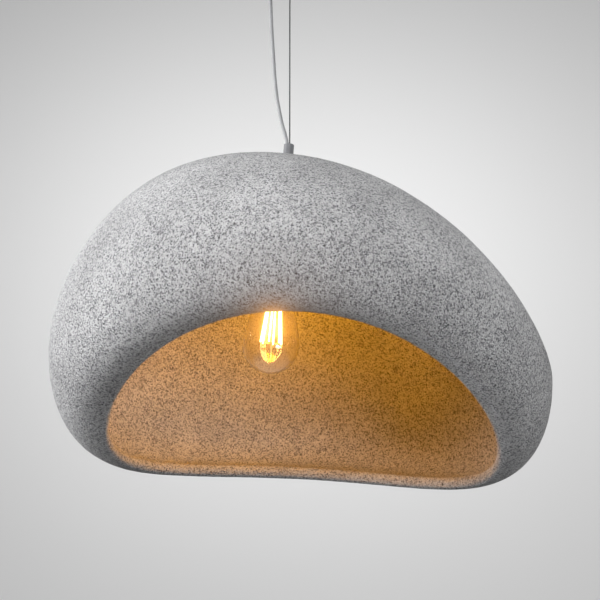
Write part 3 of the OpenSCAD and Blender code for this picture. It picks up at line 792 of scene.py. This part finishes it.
cap_heights = [-127 - 19 * i / 76 for i in range(77)]
cap_outline = [(10.6, -124.8), (12.4, -126), (13.1, -126.8), *[(13.2, h) for h in cap_heights],
               *[(12.9, h) for h in reversed(cap_heights)], (11.9, -126.8), (10.6, -126)]
cap = solid("bulb_screw_cap", lathe(cap_outline, 72, cap_wave), ON_LAMP, sharp=60)
finish_piece(cap, nickel_plate, "nickel_cap", "bulb", "bulb_cap")

# %% Bulb glass
NECK_R, BULB_R, GLASS = 12.4, 32.0, 0.9


def glass_radius(height):
    """The bulb widens smoothly from its neck to its widest place."""
    t = min(max((GLASS_TOP - 6 - height) / (GLASS_TOP - 6 - BULB_WIDE), 0), 1)
    return NECK_R + (BULB_R - NECK_R) * math.sin(t * math.pi / 2) ** 1.5


def glass_line(inset, steps=60):
    """Half the bulb's outline from its neck to its tip, moved in by some amount."""
    side = [GLASS_TOP + (BULB_WIDE - GLASS_TOP) * i / steps for i in range(steps)]
    foot = arc(0, BULB_WIDE, BULB_R - inset, BULB_WIDE - BULB_TIP - inset, 0, -90, 32)
    return [(glass_radius(h) - inset, h) for h in side] + foot


def blown_glass(name, tint, waviness):
    """Clear blown glass: smooth and glossy, its skin a little wavy where it cooled."""
    material, shader, place = start_material(name, IOR=1.46, Roughness=0.0, Transmission_Weight=1.0,
                                             Base_Color=linear(tint))
    waves = add_node(material, "ShaderNodeTexNoise", {"Scale": per_metre(22), "Detail": 1.0},
                     {"Vector": place})
    bump = add_node(material, "ShaderNodeBump", {"Strength": waviness, "Distance": 0.3 * MM},
                    {"Height": waves.outputs[0]})
    connect(material, bump.outputs[0], shader.inputs["Normal"])
    return material


def lets_light_through(obj):
    """The piece throws no shadow and sends no light back."""
    obj.visible_shadow = False
    obj.visible_diffuse = False


glass = solid("bulb_envelope", lathe(glass_line(0) + glass_line(GLASS)[::-1], 128), ON_LAMP)
finish_piece(glass, blown_glass("clear_lamp_glass", "#FFFDF8", 0.06), "bulb_glass", "bulb", "bulb_glass")
lets_light_through(glass)
stem = nodes["bulb_stem"]
stem.data.materials.clear()
stem.data.materials.append(blown_glass("clear_stem_glass", "#F6F6F2", 0.3))
lets_light_through(stem)
lets_light_through(nodes["filament_frame"])

# %% [markdown]
# ## Filaments and their light
# Six slim sticks carry rows of tiny light-emitting chips under a yellow phosphor gel. Lit, they look like
# glowing rods, so they are rods with rounded ends that emit warm light, a little uneven from chip to
# chip. The light on the shade comes from one small warm lamp among them,
# because a lamp is sampled with far less noise than six thin rods.

# %% Filaments
STICK_TOP, STICK_LENGTH, STICK_R, SPREAD = -188.0, 38.0, 0.9, math.radians(174)
CHIP = 1.6                           # spacing of the chips along a stick, in mm


def lit_phosphor():
    """Phosphor gel over lit chips: warm, and a little brighter at each chip."""
    material, shader, place = start_material("lit_phosphor_gel", IOR=1.41, Roughness=0.5,
                                             Base_Color=linear("#FFC35A"), Emission_Color=linear("#FFC078"))
    chips = add_node(material, "ShaderNodeTexNoise", {"Scale": per_metre(CHIP), "Detail": 1.0},
                     {"Vector": place})
    glow = add_node(material, "ShaderNodeMapRange", {"To Min": 22.0, "To Max": 34.0},
                    {"Value": chips.outputs[0]})
    connect(material, glow.outputs[0], shader.inputs["Emission Strength"])
    material.cycles.emission_sampling = "NONE"
    return material


stick_outline = [*arc(0, STICK_R, STICK_R, STICK_R, -90, 0, 5),
                 *arc(0, STICK_LENGTH - STICK_R, STICK_R, STICK_R, 0, 90, 5)]
sticks = []
for i in range(6):
    place = (Matrix.Rotation(math.radians(60 * i + 20), 4, "Z") @ Matrix.Translation((8.5, 0, STICK_TOP))
             @ Matrix.Rotation(SPREAD, 4, "Y"))
    points, faces = lathe(stick_outline, 16)
    sticks.append(([place @ Vector(p) for p in points], faces))
filaments = solid("filament_sticks", joined(*sticks), ON_LAMP)
finish_piece(filaments, lit_phosphor(), "led_phosphor", "bulb", "bulb_filaments")
lets_light_through(filaments)

# %% Warm light
WARM = "#FFA812"                     # a deep warm white, for a bulb near 2200 K
LIGHT_HEIGHT, LIGHT_RADIUS = -207.0, 0.012    # in mm on the lamp's axis, and in metres
warm_data = bpy.data.lights.new("warm_light", "POINT")
warm_data.energy, warm_data.color, warm_data.shadow_soft_size = 2.45, linear(WARM)[:3], LIGHT_RADIUS
warm_light = bpy.data.objects.new("warm_light", warm_data)
warm_light.location = ON_LAMP @ Vector((0, 0, LIGHT_HEIGHT * MM))
warm_light.parent = frame["bodies"]["bulb"]
warm_light.visible_camera = False
bpy.context.scene.collection.objects.link(warm_light)
print("warm light at", tuple(warm_light.location))

# %% [markdown]
# ## Glow
# The filaments are far brighter than anything else, so a lens spreads some of their light over its
# surroundings. Only what is brighter than white paint is spread, so the rest of the picture stays as it is.

# %% Lens glow
scene = bpy.context.scene
scene.use_nodes = True
scene.node_tree.nodes.clear()
picture = scene.node_tree.nodes.new("CompositorNodeRLayers")
glow = scene.node_tree.nodes.new("CompositorNodeGlare")
glow.glare_type = "BLOOM"
for socket, value in (("Threshold", 1.5), ("Strength", 0.4), ("Size", 0.35)):
    glow.inputs[socket].default_value = value
result = scene.node_tree.nodes.new("CompositorNodeComposite")
scene.node_tree.links.new(picture.outputs["Image"], glow.inputs["Image"])
scene.node_tree.links.new(glow.outputs["Image"], result.inputs["Image"])
print("glow spread by", glow.glare_type.lower())
